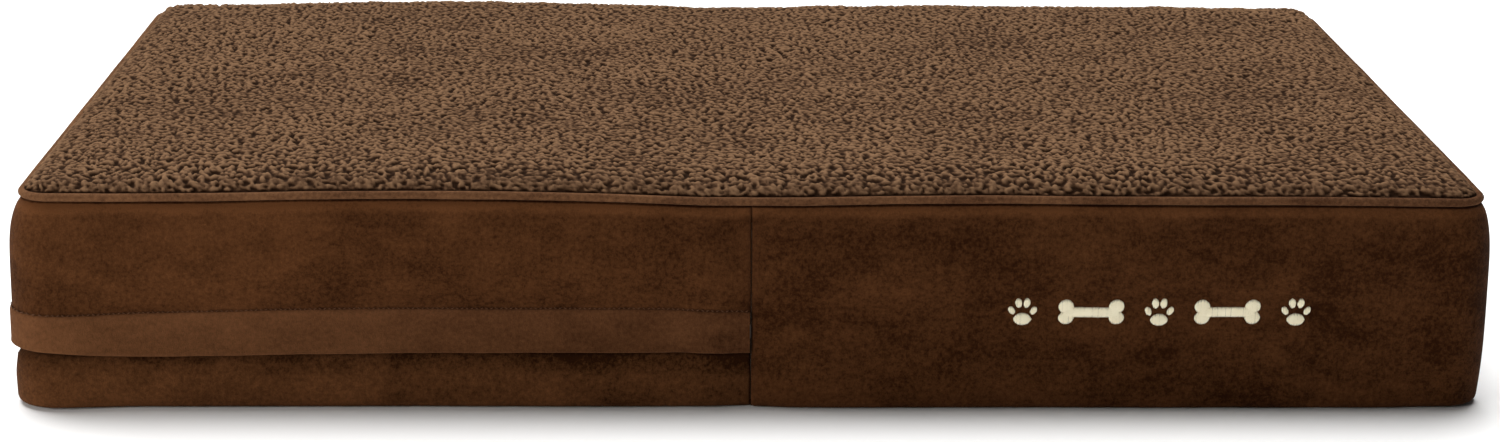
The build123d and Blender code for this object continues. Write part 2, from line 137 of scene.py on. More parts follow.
class Finish:
    """A material for one cloth, foam, thread or metal, put together node by node."""

    def __init__(self, name, fixed):
        self.material = bpy.data.materials.new(name)
        self.material.use_nodes = True
        self.tree = self.material.node_tree
        self.shader = self.tree.nodes["Principled BSDF"]
        for socket, value in fixed.items():
            self.shader.inputs[socket].default_value = value
        self.place = self.node("TexCoord", out="Object")

    def feed(self, socket, value):
        if isinstance(value, Value):
            self.tree.links.new(value.socket, socket)
        else:
            socket.default_value = value

    def node(self, kind, settings=None, sockets=None, out=0):
        """Adds a node: its settings or a ramp's stops first, then values or links by socket."""
        node = self.tree.nodes.new("ShaderNode" + kind)
        for key, value in (settings or {}).items():
            if key == "stops":
                while len(node.color_ramp.elements) < len(value):
                    node.color_ramp.elements.new(0.5)
                for element, (position, colour) in zip(node.color_ramp.elements, value):
                    element.position, element.color = position, colour
            else:
                setattr(node, key, value)
        for key, value in (sockets or {}).items():
            self.feed(node.inputs[key], value)
        return Value(self, node.outputs[out])

    def stretched(self, along):
        """Object coordinates multiplied by three numbers, to draw a pattern out one way."""
        return self.node("VectorMath", {"operation": "MULTIPLY"}, {0: self.place, 1: along})

    def noise(self, scale, detail=2.0, roughness=0.5, place=None):
        sockets = {"Vector": place or self.place, "Scale": scale, "Detail": detail}
        return self.node("TexNoise", {}, sockets | {"Roughness": roughness})

    def bands(self, direction, scale):
        sockets = {"Vector": self.place, "Scale": scale}
        return self.node("TexWave", {"bands_direction": direction}, sockets)

    def attribute(self, name):
        return self.node("Attribute", {"attribute_name": name}, out="Fac")

    def spread(self, value, low, high):
        """The value drawn out so that low becomes 0 and high becomes 1, smooth and held there."""
        span = {"Value": value, "From Min": low, "From Max": high}
        return self.node("MapRange", {"interpolation_type": "SMOOTHSTEP"}, span)

    def mix(self, share, first, second):
        return self.node("Mix", {"data_type": "RGBA"}, {0: share, 6: first, 7: second}, out=2)

    def wear(self, colour=None, roughness=None, height=None, depth=0.0003, strength=1.0):
        """Feeds what varies over the surface to the shader; height is in units of depth."""
        if colour:
            self.feed(self.shader.inputs["Base Color"], colour)
        if roughness:
            self.feed(self.shader.inputs["Roughness"], roughness)
        if height:
            bump = {"Strength": strength, "Distance": depth, "Height": height}
            self.feed(self.shader.inputs["Normal"], self.node("Bump", {}, bump))
        return self.material


def dye(red, green, blue):
    """A screen colour from 0 to 255 as the linear colour that shaders take."""
    share = np.array([red, green, blue]) / 255
    linear = np.where(share <= 0.04045, share / 12.92, ((share + 0.055) / 1.055) ** 2.4)
    return (*(float(part) for part in linear), 1.0)


def darker(colour, share):
    """A linear colour with only a share of its light."""
    return (*(share * part for part in colour[:3]), 1)


def outermost(node):
    """Depth of a node's outermost edge, outwards from the face of the boxing."""
    return float(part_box(node)[1][0]) - wall_x


def around(t):
    """Core point and outward direction at distance t round the bed.

    t runs from the front centre seam to the left, along straight sides and quarter circles, to
    the back centre seam, and home along the right half, which is the left half mirrored.
    """
    t = np.asarray(t, float) % full_round
    s = np.minimum(t, full_round - t)
    side = np.where(t <= half_round, -1.0, 1.0)
    ends = np.cumsum([straight_x, corner_arc, 2 * straight_y, corner_arc])
    turn = np.clip((s - ends[0]) / corner_radius, 0, math.pi / 2)
    turn = turn + np.clip((s - ends[2]) / corner_radius, 0, math.pi / 2)
    x = np.clip(s, 0, ends[0]) - np.clip(s - ends[3], 0, straight_x)
    y = np.clip(s - ends[1], 0, 2 * straight_y) - straight_y
    return np.stack([side * x, y], -1), np.stack([side * np.sin(turn), -np.cos(turn)], -1)


def on_wall(t, depth, z):
    """Points at distance t round the bed, at a depth outwards from the boxing, at height z."""
    t, depth, z = np.broadcast_arrays(t, depth, z)
    core, out = around(t)
    return np.concatenate([core + (corner_radius + depth)[..., None] * out, z[..., None]], -1)


def grid_quads(rows, columns, ring_rows=False, ring_columns=False):
    """Quads of a grid whose rows climb and whose columns run clockwise seen from above."""
    counts = rows - (not ring_rows), columns - (not ring_columns)
    row, column = (part.ravel() for part in np.indices(counts))
    up, on = (row + 1) % rows, (column + 1) % columns
    corners = [row * columns + column, up * columns + column, up * columns + on, row * columns + on]
    return np.stack(corners, -1)


def circle(sides):
    """Cosine and sine once round, in so many steps."""
    turn = np.arange(sides) * 2 * math.pi / sides
    return np.cos(turn), np.sin(turn)


def piece(name, points, quads, material, replaced, body="cushion", caps=(), sharp=50):
    """Makes a smooth mesh of quads and many-cornered caps, and puts it in its nodes' place."""
    points = np.asarray(points, np.float32).reshape(-1, 3)
    corners = np.concatenate([quads.ravel(), *caps]).astype(np.int32)
    sizes = np.concatenate([np.full(len(quads), 4), [len(cap) for cap in caps]]).astype(np.int32)
    mesh = bpy.data.meshes.new(name)
    mesh.vertices.add(len(points))
    mesh.loops.add(len(corners))
    mesh.polygons.add(len(sizes))
    mesh.vertices.foreach_set("co", points.ravel())
    mesh.loops.foreach_set("vertex_index", corners)
    mesh.polygons.foreach_set("loop_start", (np.cumsum(sizes) - sizes).astype(np.int32))
    mesh.update(calc_edges=True)
    mesh.validate()
    mesh.polygons.foreach_set("use_smooth", np.ones(len(sizes), bool))
    mesh.set_sharp_from_angle(angle=math.radians(sharp))
    mesh.materials.append(material)
    obj = bpy.data.objects.new(name, mesh)
    scene.collection.objects.link(obj)
    if body:
        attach(obj, body)
    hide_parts(*replaced)
    return obj


def thicken(obj, thickness):
    """Gives a sheet its thickness, inwards from the face it was drawn on."""
    wall = obj.modifiers.new("thickness", "SOLIDIFY")
    wall.thickness, wall.offset = thickness, -1


def give(obj, label, values):
    """Writes a value for each point of a mesh, for its material to read."""
    values = np.asarray(values, np.float32)
    obj.data.attributes.new(label, "FLOAT", "POINT").data.foreach_set("value", values)


def open_ends(rows, columns):
    """The caps of a tube whose rows go round its section and whose columns run along it."""
    first = np.arange(rows) * columns
    return [first[::-1], first + columns - 1]


def foam_block(name, material, low_roll, high_roll):
    """A block with the bed's outline: quarter circles of two radii carried round it, then caps."""
    low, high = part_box(name)
    bend = np.linspace(0, math.pi / 2, 7)
    early, late = 1 - np.cos(bend), 1 - np.sin(bend)
    depth = outermost(name) - np.concatenate([low_roll * late, high_roll * early])
    z = np.concatenate([low[2] + low_roll * early, high[2] - high_roll * late])
    t = np.linspace(0, full_round, 420, endpoint=False)
    points = on_wall(t[None], depth[:, None], z[:, None])
    ring = np.arange(len(t))
    caps = [ring, (ring + (len(z) - 1) * len(t))[::-1]]
    return piece(name + "_block", points, grid_quads(len(z), len(t), False, True), material,
                 [name], caps=caps)


def foam(name, colour, pore_scale):
    """Open foam: two sizes of pits, with painted shade inside the pores."""
    finish = Finish(name, {"Roughness": 0.95, "Specular IOR Level": 0.15})
    cells = finish.node("TexVoronoi", {}, {"Vector": finish.place, "Scale": pore_scale})
    pits = finish.spread(cells, 0.05, 0.55)
    cloud = finish.noise(25, 3)
    # Painted shade: the pits are mixed towards a darker copy of the foam's colour.
    shade = finish.mix(pits * 0.7 + cloud * 0.3, darker(colour, 0.55), colour)
    return finish.wear(shade, height=pits + cloud * 0.5, depth=0.0006)


firm = foam("support foam", dye(206, 205, 196), 480)
soft = foam("memory foam", dye(232, 222, 186), 800)
support_foam = foam_block("support_foam_slab", firm, 0.0046, 0.0015)
memory_foam = foam_block("memory_foam_slab", soft, 0.0015, 0.003)


# -------- waterproof liner
# A zipped inner bag of coated nylon, thin and crackly, with a short zip on the left side.
# Top, base and wall are sewn together edge to edge round the foam.
def coated_nylon():
    """Thin cloth with fine square rip-stop lines and crumple creases, with painted shade along the
    creases.
    """
    finish = Finish("liner cloth", {"Specular IOR Level": 0.4})
    sockets = {"Vector": finish.place, "Scale": 22}
    creases = finish.node("TexVoronoi", {"feature": "DISTANCE_TO_EDGE"}, sockets)
    soft = finish.spread(creases, 0.0, 0.25)
    weave = finish.bands("DIAGONAL", 900)
    # Painted shade: the cloth is a little darker along the creases.
    colour = finish.mix(soft, dye(196, 198, 198), dye(206, 208, 206))
    return finish.wear(colour, 0.42 + soft * 0.12, soft + weave * 0.05, 0.0008)


liner_cloth = coated_nylon()


def cloth_disc(node, material, edge_depth, drape, cell=0.012):
    """A sheet with the bed's outline at a depth. drape gives its height from x, y and its top."""
    low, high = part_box(node)
    reach = corner_radius + edge_depth
    plan, _, _ = outline_grid(reach, cell)
    z = drape(plan[..., 0], plan[..., 1], float(high[2]))
    points = np.concatenate([plan, z[..., None]], -1)
    rows, columns = z.shape
    obj = piece(node + "_cloth", points, grid_quads(rows, columns)[:, ::-1], material, [node])
    thicken(obj, float(high[2] - low[2]))
    size = (2 * (straight_x + reach), 2 * (straight_y + reach))
    return obj


def outline_grid(reach, cell):
    """Square grid drawn into the bed's outline, with each point's distance and direction from
    the core, the rectangle that the corner circles are centred on.

    The grid's corners become round by the ellipse rule: each side is shortened by the root of
    one minus half the other side squared.
    """
    half = np.array([straight_x + reach, straight_y + reach])
    counts = (2 * np.ceil(half / cell)).astype(int) + 1
    x, y = np.meshgrid(*(np.linspace(-end, end, count) for end, count in zip(half, counts)))
    over_x = np.clip(np.abs(x) - straight_x, 0, None) / reach
    over_y = np.clip(np.abs(y) - straight_y, 0, None) / reach
    round_x, round_y = over_x * np.sqrt(1 - over_y**2 / 2), over_y * np.sqrt(1 - over_x**2 / 2)
    core = np.stack([np.clip(x, -straight_x, straight_x), np.clip(y, -straight_y, straight_y)], -1)
    step = np.stack([np.sign(x) * round_x, np.sign(y) * round_y], -1) * reach
    far = np.linalg.norm(step, axis=-1)
    out = step / np.maximum(far, 1e-9)[..., None]
    return core + step, far, out


def slack(x, y, top):
    """Flat, with shallow waves a tenth of a millimetre deep."""
    return top + 0.0001 * (np.sin(60 * x + 25 * y) - 1)


for panel, edge in (("liner_top_panel", "liner_boxing"), ("liner_base_panel", "liner_base_panel")):
    cloth_disc(panel, liner_cloth, outermost(edge), slack)


def dress(material, *nodes):
    """Gives CAD nodes whose shape is right a finish of their own."""
    for node in nodes:
        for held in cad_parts[node].material_slots:
            held.material = material


def zip_tape(name, colour):
    """Woven tape: narrow ribs across it and a lighter, worn nap."""
    finish = Finish(name, {"Roughness": 0.8, "Sheen Weight": 0.2})
    ribs, fuzz = finish.bands("Z", 420), finish.noise(1500, 3)
    shade = finish.mix(ribs * 0.6 + fuzz * 0.5, darker(colour, 0.6), colour)
    return finish.wear(shade, height=ribs + fuzz * 0.4, depth=0.0002)


def moulded(name, colour):
    """Nylon monofilament: smooth, with a slight cloudiness."""
    finish = Finish(name, {"Specular IOR Level": 0.5})
    cloud = finish.noise(300, 2)
    return finish.wear(finish.mix(cloud, darker(colour, 0.75), colour), 0.3 + cloud * 0.15)


def zip_metal(name, colour):
    """Plated die-cast metal with fine scuffs and dull patches."""
    finish = Finish(name, {"Metallic": 1.0})
    scuffs = finish.noise(900, 4, 0.6, finish.stretched((1, 6, 6)))
    dull = finish.noise(160, 2)
    shade = finish.mix(finish.spread(dull, 0.35, 0.65), darker(colour, 0.7), colour)
    return finish.wear(shade, 0.25 + scuffs * 0.25, scuffs, 0.00003)


slider_metal = zip_metal("slider metal", dye(176, 146, 98))
dress(liner_cloth, "liner_boxing")
liner_tape = zip_tape("liner zip tape", dye(190, 190, 186))
liner_coil = moulded("liner zip coil", dye(214, 214, 210))
dress(liner_tape, "liner_zip_tape_upper", "liner_zip_tape_lower")
dress(liner_coil, "liner_zip_coil_upper", "liner_zip_coil_lower")
dress(slider_metal, "liner_zip_stops", "liner_zip_slider", "liner_zip_pull_tab")


# -------- how the cover fills out
# The cover is a little smaller than the foam, so the foam pushes its walls and top outwards
# between the seams that hold them: the piping seam, the flap's stitch row and the base.
wall_low, wall_high = 0.006, 0.147
wall_rows, wall_columns, top_cell = 16, 272, 0.0125
settling_steps = 20
hinge_height = 0.0665
corner_hold, corner_run, seam_hold, seam_run = 0.018, 0.055, 0.012, 0.08
ease_cap, crown_cap, side_share = 0.0085, 0.0075, 0.12
left_corner_swell, right_corner_swell, waist = 0.0105, 0.0085, 0.072
shoulder_swell, floor_swell, lower_swell = 0.0050, 0.0075, 0.0024


def inflate(points, quads, held, looseness):
    """How far cloth pinned at its seams moves under pressure, in a short simulation."""
    mesh = bpy.data.meshes.new("stuffing")
    mesh.from_pydata(points.tolist(), [], quads.tolist())
    cloth = bpy.data.objects.new("stuffing", mesh)
    scene.collection.objects.link(cloth)
    cloth.vertex_groups.new(name="seams").add([int(i) for i in held], 1.0, "REPLACE")
    modifier = cloth.modifiers.new("Cloth", "CLOTH")
    settings = modifier.settings
    settings.quality, settings.mass, settings.vertex_group_mass = 6, 0.3, "seams"
    settings.tension_stiffness = settings.compression_stiffness = 6
    settings.shear_stiffness, settings.bending_stiffness = 3, 0.6
    settings.use_pressure, settings.uniform_pressure_force = True, 4
    settings.effector_weights.gravity, settings.shrink_min = 0, -looseness
    modifier.collision_settings.use_collision = False
    modifier.point_cache.frame_start, modifier.point_cache.frame_end = 1, settling_steps
    for step in range(1, settling_steps + 1):
        scene.frame_set(step)
    swollen = cloth.evaluated_get(bpy.context.evaluated_depsgraph_get()).to_mesh()
    moved = np.empty(3 * len(swollen.vertices))
    swollen.vertices.foreach_get("co", moved)
    bpy.data.objects.remove(cloth)
    scene.frame_set(1)
    return moved.reshape(-1, 3) - points


def lifting(t):
    """1 where a flap lifts, 0 where it is held: near the seams and the corners."""
    t = np.asarray(t, float) % full_round
    to_corner = np.minimum(np.abs(t - corner_middles[0]), np.abs(t - corner_middles[1]))
    to_seam = np.minimum(t, np.abs(half_round - t))
    held = np.minimum((to_corner - corner_hold) / corner_run, (to_seam - seam_hold) / seam_run)
    return np.where(t < half_round, np.clip(held, 0, 1), 0.0)


corner_middles = straight_x + corner_arc / 2 + np.array([0, 2 * straight_y + corner_arc])
wall_t = np.arange(wall_columns) * full_round / wall_columns
wall_z = np.linspace(wall_low, wall_high, wall_rows)
_, wall_out = around(wall_t)
hinge_row = int(np.argmin(np.abs(wall_z - hinge_height)))
top_x = np.linspace(-wall_x, wall_x, int(2 * wall_x / top_cell))
top_y = np.linspace(-wall_y, wall_y, int(2 * wall_y / top_cell))
index = np.arange(wall_rows * wall_columns).reshape(wall_rows, wall_columns)
pinned = np.concatenate([index[0], index[-1], index[hinge_row][lifting(wall_t) > 0.5]])
wall_points = on_wall(wall_t[None], 0.0, wall_z[:, None]).reshape(-1, 3)
moved = inflate(wall_points, grid_quads(wall_rows, wall_columns, False, True), pinned, 0.004)
moved = moved.reshape(wall_rows, wall_columns, 3)
wall_swell = np.clip((moved[..., :2] * wall_out).sum(-1), 0, ease_cap)
grid_x, grid_y = np.meshgrid(top_x, top_y)
index = np.arange(grid_x.size).reshape(grid_x.shape)
pinned = np.concatenate([index[0], index[-1], index[:, 0], index[:, -1]])
flat_top = np.stack([grid_x, grid_y, np.full_like(grid_x, 0.154)], -1).reshape(-1, 3)
moved = inflate(flat_top, grid_quads(*grid_x.shape)[:, ::-1], pinned, 0.0015)
top_crown = np.clip(moved[:, 2].reshape(grid_x.shape), 0, crown_cap)


def read_table(table, column, row):
    """A table of knots read with cubic B-spline weights; columns wrap, rows stop at the ends."""
    column, row = np.broadcast_arrays(np.asarray(column, float), np.asarray(row, float))
    first_column, first_row = np.floor(column).astype(int), np.floor(row).astype(int)

    def weights(share):
        rest = 1 - share
        return (rest**3 / 6, (3 * share**3 - 6 * share**2 + 4) / 6,
                (3 * rest**3 - 6 * rest**2 + 4) / 6, share**3 / 6)

    total = 0.0
    for down, row_weight in enumerate(weights(row - first_row)):
        at_row = np.clip(first_row + down - 1, 0, table.shape[0] - 1)
        for over, column_weight in enumerate(weights(column - first_column)):
            at_column = (first_column + over - 1) % table.shape[1]
            total = total + row_weight * column_weight * table[at_row, at_column]
    return total


def ripple(a, b, size_a, size_b, seed):
    """Smooth unevenness from -1 to 1, with patches of a given size each way."""
    table = np.random.default_rng(seed).uniform(-1.6, 1.6, (97, 89))
    return read_table(table, np.asarray(a) / size_a + 40, np.mod(np.asarray(b) / size_b, 90) + 3)


def smooth(value, low, high):
    """0 below low, 1 above high and a smooth step between."""
    share = np.clip((value - low) / (high - low), 0, 1)
    return share * share * (3 - 2 * share)


def swell(t, z):
    """How far the filling pushes the wall out at distance t and height z.

    It is the simulated swell, replaced near a corner by a fuller arch, drawn in at the two
    centre seams, with puckers below the piping and soft waves left by handling.
    """
    t = np.asarray(t, float) % full_round
    height = np.clip((z - wall_low) / (wall_high - wall_low), 0, 1)
    plain = read_table(wall_swell, t * wall_columns / full_round, height * (wall_rows - 1))
    s = np.minimum(t, full_round - t)
    to_corner = np.minimum(np.abs(s - corner_middles[0]), np.abs(s - corner_middles[1]))
    roomy = np.where(t < half_round, left_corner_swell, right_corner_swell)
    above = np.clip((z - waist) / (wall_high - waist), 0, 1)
    below = np.clip((waist - z) / waist, 0, 1)
    tucked_in = np.where(t < half_round, 0.10, 0.45)
    full = roomy * (1 - above**5) * (1 - tucked_in * below**2)
    full = full + lower_swell * (1 - smooth(z, 0.0345, 0.0385)) * (t < half_round)
    near = 1 - smooth(to_corner, 0.014, 0.075)
    on_side = smooth(s, corner_middles[0], corner_middles[0] + 0.06)
    on_side = on_side * (1 - smooth(s, corner_middles[1] - 0.06, corner_middles[1]))
    under_seam = 1 - np.exp(-np.clip(0.1455 - z, 0, 1) / 0.009)
    shoulder_push = shoulder_swell * under_seam * smooth(z, 0.066, 0.105)
    settled = floor_swell * np.exp(-((z / 0.030) ** 2))
    plain = (plain + shoulder_push + settled) * (1 - (1 - side_share) * on_side)
    pushed = plain * (1 - near) + full * near
    waves = 0.0006 * ripple(t, z, 0.07, 0.06, 5) + 0.00035 * ripple(t, z, 0.028, 0.03, 6)
    puckers = 0.0004 * ripple(t, z, 0.011, 0.05, 7) * smooth(z, 0.120, 0.143)
    drag = ripple(t + 0.9 * z, z, 0.016, 0.5, 8) * 0.0006 * smooth(z, 0.07, 0.09)
    drag = drag * np.exp(-(((t - 0.215) / 0.05) ** 2))
    to_seam = np.minimum(s, half_round - s)
    pulled = 1 - 0.5 * np.exp(-((to_seam / 0.020) ** 2))
    fade = smooth(z, -0.005, 0.003) * (1 - smooth(z, 0.141, 0.149))
    return ((pushed + waves + drag) * pulled + puckers) * fade


row_drift = np.random.default_rng(11).uniform(-1.2, 1.2, 64)
row_drift[:11] = [1.8, 2.8, 3.0, 3.0, 3.0, 3.0, 2.8, 1.4, 0.2, -1.2, 1.4]


def seam_drift(x):
    """How far the piping seam sits above its pattern, from the left end to the right one."""
    at = np.linspace(-0.51, 0.51, 16)
    drift = [2.2, 1.8, 2.3, 3.6, 3.8, 3.2, 1.6, -0.9, -1.0, 0.1, 0.4, -0.3, -0.6, -0.6, -1.3, -2.2]
    return 0.001 * np.interp(x, at, drift)


def hang(t, z):
    """How far the cloth sits above its pattern: at the piping seam, and at the flap's stitch row,
    which wanders a little."""
    core, out = around(t)
    x = core[..., 0] + corner_radius * out[..., 0]
    seam = seam_drift(x) + 0.0003 * ripple(t, 0 * x, 0.09, 1, 9)
    row = 0.001 * read_table(row_drift[None], np.asarray(t) * 64 / full_round, 0)
    return seam * smooth(z, 0.075, 0.140) + row * np.exp(-(((z - 0.0693) / 0.009) ** 2))


def stuffed(t, depth, z, follow=1.0):
    """Points on the filled cover, at a depth from the boxing's own face; follow 0 stays in."""
    t, depth, z, follow = np.broadcast_arrays(t, depth, z, follow)
    return on_wall(t, depth + follow * swell(t, z), z + follow * hang(t, z))


# -------- fleece top
# A panel of curly sherpa fleece on a knitted back, sewn into the piping seam all round. The
# pile is brushed into short worm-like curls that lie over each other and over the piping.
pile_cell = 0.00115
pile_height, curl_count, curl_points = 0.0050, 92000, 7
curl_lengths, curl_radii = (0.0020, 0.0062), (0.0011, 0.0017)
shoulder, tucked = 0.0065, 0.005
ground_height = 0.1545
roll_start = corner_radius + outermost("fleece_top_panel") - shoulder
lip = shoulder + 0.75 * pile_height
pile_reach = roll_start + lip * math.pi / 2 + tucked
plan, far, out = outline_grid(pile_reach, pile_cell)
plan_x, plan_y = plan[..., 0], plan[..., 1]
pile_rows, pile_columns = far.shape


def curls(rows, columns, cell):
    """Height and tone of the pile on a grid, from 0 to 1.

    Each curl is a short bent row of domes laid along a wandering grain. Where curls cross, the
    higher one wins and keeps its own tone.
    """
    rng = np.random.default_rng(21)
    along = np.arange(curl_points) / (curl_points - 1)
    across, down = rng.uniform(0, columns, curl_count), rng.uniform(0, rows, curl_count)
    grain = 2.4 * ripple(across * cell, down * cell, 0.06, 0.05, 22)
    heading = grain + rng.normal(0, 0.9, curl_count)
    length = rng.uniform(*curl_lengths, curl_count)
    bend = rng.normal(0, 2.2, curl_count)
    radius = rng.uniform(*curl_radii, curl_count)
    pressed = 0.82 + 0.16 * ripple(across * cell, down * cell, 0.05, 0.04, 23)
    top = rng.uniform(0.5, 1.0, curl_count) * pressed
    tone = rng.integers(0, 256, curl_count)
    angle = heading[:, None] + bend[:, None] * (along - 0.5)
    step = (length / (curl_points - 1) / cell)[:, None]
    x = across[:, None] + np.cumsum(np.cos(angle) * step, 1)
    y = down[:, None] + np.cumsum(np.sin(angle) * step, 1)
    arch = top[:, None] * (0.62 + 0.38 * np.sin(np.pi * along))
    size = (radius / cell)[:, None] * np.ones(curl_points)
    picture = np.zeros(rows * columns, np.int64)
    span = int(math.ceil(curl_radii[1] / cell))
    left, above = np.rint(x).astype(int), np.rint(y).astype(int)
    for shift_y in range(-span, span + 1):
        for shift_x in range(-span, span + 1):
            column, row = left + shift_x, above + shift_y
            off = ((column - x) ** 2 + (row - y) ** 2) / size**2
            height = arch * np.sqrt(np.clip(1 - off, 0, 1))
            inside = (off < 1) & (column >= 0) & (column < columns) & (row >= 0) & (row < rows)
            key = (height * 4095).astype(np.int64) * 256 + np.broadcast_to(tone[:, None], x.shape)
            np.maximum.at(picture, (row * columns + column)[inside], key[inside])
    picture = picture.reshape(rows, columns)
    return picture // 256 / 4095, picture % 256 / 255


pile, pile_tone = curls(pile_rows, pile_columns, pile_cell)
blurred = pile.copy()
blurred[1:-1, 1:-1] = 0.6 * pile[1:-1, 1:-1] + 0.1 * (
    pile[:-2, 1:-1] + pile[2:, 1:-1] + pile[1:-1, :-2] + pile[1:-1, 2:]
)


def spread_out(values, reach):
    """Each value as the mean of those within a few cells, by three sliding means each way."""
    shifts = range(-reach, reach + 1)
    for axis in (0, 1) * 3:
        values = sum(np.roll(values, shift, axis) for shift in shifts) / len(shifts)
    return values


# Painted shade and light on the pile: a curl's height against the mean of the pile near it gives
# painted shade between the curls and painted light on their crowns, with less contrast out on
# the lip. Clumps of tone are added, the lip gets less painted shade, and painted shade goes where
# the lip goes down into the seam.
lean = far - roll_start
crevice = blurred - spread_out(blurred, int(round(0.0022 / pile_cell)))
crevice = 0.5 + (2.6 - 1.2 * smooth(lean, -0.012, 0.3 * lip)) * crevice
tilt = np.clip(lean / lip, 0, math.pi / 2)
radial = np.minimum(far, roll_start) + shoulder * np.sin(tilt)
drop = shoulder * (1 - np.cos(tilt)) + np.clip(lean - lip * math.pi / 2, 0, None)
clumps = ripple(plan_x, plan_y, 0.013, 0.010, 25)
crevice = crevice + 0.07 * clumps + 0.10 * smooth(lean, -0.006, 0.5 * lip)
crevice = np.clip(crevice - 0.8 * smooth(lean, 0.85 * lip, 1.3 * lip), 0, 1)
core_plan = plan - far[..., None] * out
crown = read_table(top_crown, (plan_x + wall_x) / (2 * wall_x) * (len(top_x) - 1),
                   (plan_y + wall_y) / (2 * wall_y) * (len(top_y) - 1))
sag = seam_drift(plan_x)
dents = 0.0009 * ripple(plan_x, plan_y, 0.085, 0.07, 24)
ground = ground_height + crown + sag + dents * smooth(-lean, 0, 0.03) - drop
in_seam = smooth(lean, lip * 1.2, lip * math.pi / 2 + 0.6 * tucked)
raised = pile_height * (blurred + 0.12 * clumps).clip(0, 1) * (1 - in_seam)
raised = raised * (1 - 0.3 * smooth(lean, -0.004, 0.6 * lip))
pile_plan = core_plan + (radial + raised * np.sin(tilt))[..., None] * out
pile_points = np.concatenate([pile_plan, (ground + raised * np.cos(tilt))[..., None]], -1)

grid_index = np.arange(pile_rows * pile_columns).reshape(pile_rows, pile_columns)
rim = np.concatenate([
    grid_index[0, :-1], grid_index[:-1, -1], grid_index[-1, :0:-1], grid_index[:0:-1, 0]
])
rim_points = pile_points.reshape(-1, 3)[rim]
rim_out = out.reshape(-1, 2)[rim]
inner_low = rim_points - np.concatenate([0.0015 * rim_out, 0 * rim_out[:, :1]], -1)
inner_high = inner_low.copy()
inner_high[:, 2] = 0.1498
first = pile_rows * pile_columns
loops = np.stack([rim, first + np.arange(len(rim)), first + len(rim) + np.arange(len(rim))])
following = np.roll(loops, -1, axis=1)
backing = np.concatenate([
    np.stack([loops[k], loops[k + 1], following[k + 1], following[k]], -1) for k in range(2)
])


def sherpa():
    """Curly fleece: painted shade between the curls and painted light on their crowns,
    each curl its own tone.
    """
    finish = Finish("sherpa fleece", {"Roughness": 0.95, "Specular IOR Level": 0.02,
                                      "Sheen Weight": 0.02, "Sheen Roughness": 0.6,
                                      "Sheen Tint": (0.9, 0.65, 0.45, 1)})
    open_to_light, tone = finish.attribute("crevice"), finish.attribute("tone")
    patches = finish.noise(7, 3)
    fibres = finish.noise(1100, 4, 0.65)
    level = open_to_light + (tone - 0.5) * 0.12 + (fibres - 0.5) * 0.25 + (patches - 0.5) * 0.10
    colour = finish.node("ValToRGB", {"stops": [
        (0.25, dye(34, 20, 11)), (0.45, dye(54, 36, 23)), (0.60, dye(80, 58, 41)),
        (0.90, dye(112, 85, 62)),
    ]}, {"Fac": level})
    return finish.wear(colour, height=fibres, depth=0.0006, strength=0.7)


fleece = piece(
    "fleece_top",
    np.concatenate([pile_points.reshape(-1, 3), inner_low, inner_high]),
    np.concatenate([grid_quads(pile_rows, pile_columns)[:, ::-1], backing]),
    sherpa(), ["fleece_top_panel"], caps=[loops[2][::-1]], sharp=180,
)
# The pile's painted shade and light, with each curl's tone, go to the material.
for label, values in (("crevice", crevice), ("tone", pile_tone)):
    give(fleece, label, np.concatenate([values.ravel(), np.zeros(2 * len(rim))]))


# -------- piping
# A bias strip of the same suede folded over a soft cord and caught in the seam between the
# fleece and the boxing, all the way round. Its raw edges hang down inside the seam.
piping_radius, cord_radius = 0.0029, 0.0020
piping_depth = (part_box("piping_sleeve")[1][0] - wall_x) - piping_radius
piping_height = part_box("piping_sleeve")[1][2] - piping_radius
tail_low = float(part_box("piping_sleeve")[0][2])
piping_t = np.linspace(0, full_round, 840, endpoint=False)


def suede(name, dark, light, patch=0.34, grain=0.5, left_light_slope=0.28, flap_shadow=0.0):
    """Brushed microsuede: nap patches where it was stroked both ways, and short fine fibres.

    A painted highlight lightens a band below the piping seam, where the wall turns up to the light,
    and a thin painted shade line darkens it right under the piping. It is also lighter towards the
    floor over its lowest 45 mm. The last two numbers give painted light that lightens it towards
    the left, and a painted shadow on the part that the flap hangs over.
    """
    finish = Finish(name, {"Roughness": 0.9, "Specular IOR Level": 0.03, "Sheen Weight": 0.03,
                           "Sheen Roughness": 0.4, "Sheen Tint": (0.9, 0.6, 0.4, 1)})
    stroked = finish.noise(13, 4, 0.6, finish.stretched((1, 1, 1.6)))
    smudges = finish.noise(48, 4, 0.65, finish.stretched((0.7, 0.7, 1.3)))
    fibres = finish.noise(1300, 4, 0.7, finish.stretched((1, 1, 0.6)))
    grains = finish.noise(330, 3, 0.7)
    across = finish.node("SeparateXYZ", {}, {0: finish.place}, out="X")
    up = finish.attribute("height")
    nap = finish.spread(stroked, 0.3, 0.7) * patch + finish.spread(smudges, 0.25, 0.75) * 0.22
    # Painted light and shade by height: a painted highlight below the piping seam, a painted shade
    # line right under the piping, and a lighter foot over the lowest 45 mm.
    painted_light_and_shade = finish.spread(up, 0.125, 0.143) * 0.10 + finish.spread(up, 0.1365, 0.1425) * 0.50
    painted_light_and_shade = painted_light_and_shade * (1 - finish.spread(up, 0.1447, 0.1456) * 1.4)
    # The last term here is a painted shadow where the flap hangs over the cloth.
    painted_light_and_shade = painted_light_and_shade - finish.spread(up, 0.0, 0.045) * 0.10 - finish.spread(up, 0.020, 0.040) * flap_shadow
    # The term with the x coordinate is painted light, lighter towards the left.
    level = nap + (fibres + grains * 2.2 - 1.6) * grain + painted_light_and_shade + 0.18 - across * left_light_slope
    pits = finish.spread(fibres, 0.3, 0.7)
    return finish.wear(finish.mix(level, dark, light), height=pits + grains + smudges * 0.5,
                       depth=0.0003, strength=0.7)


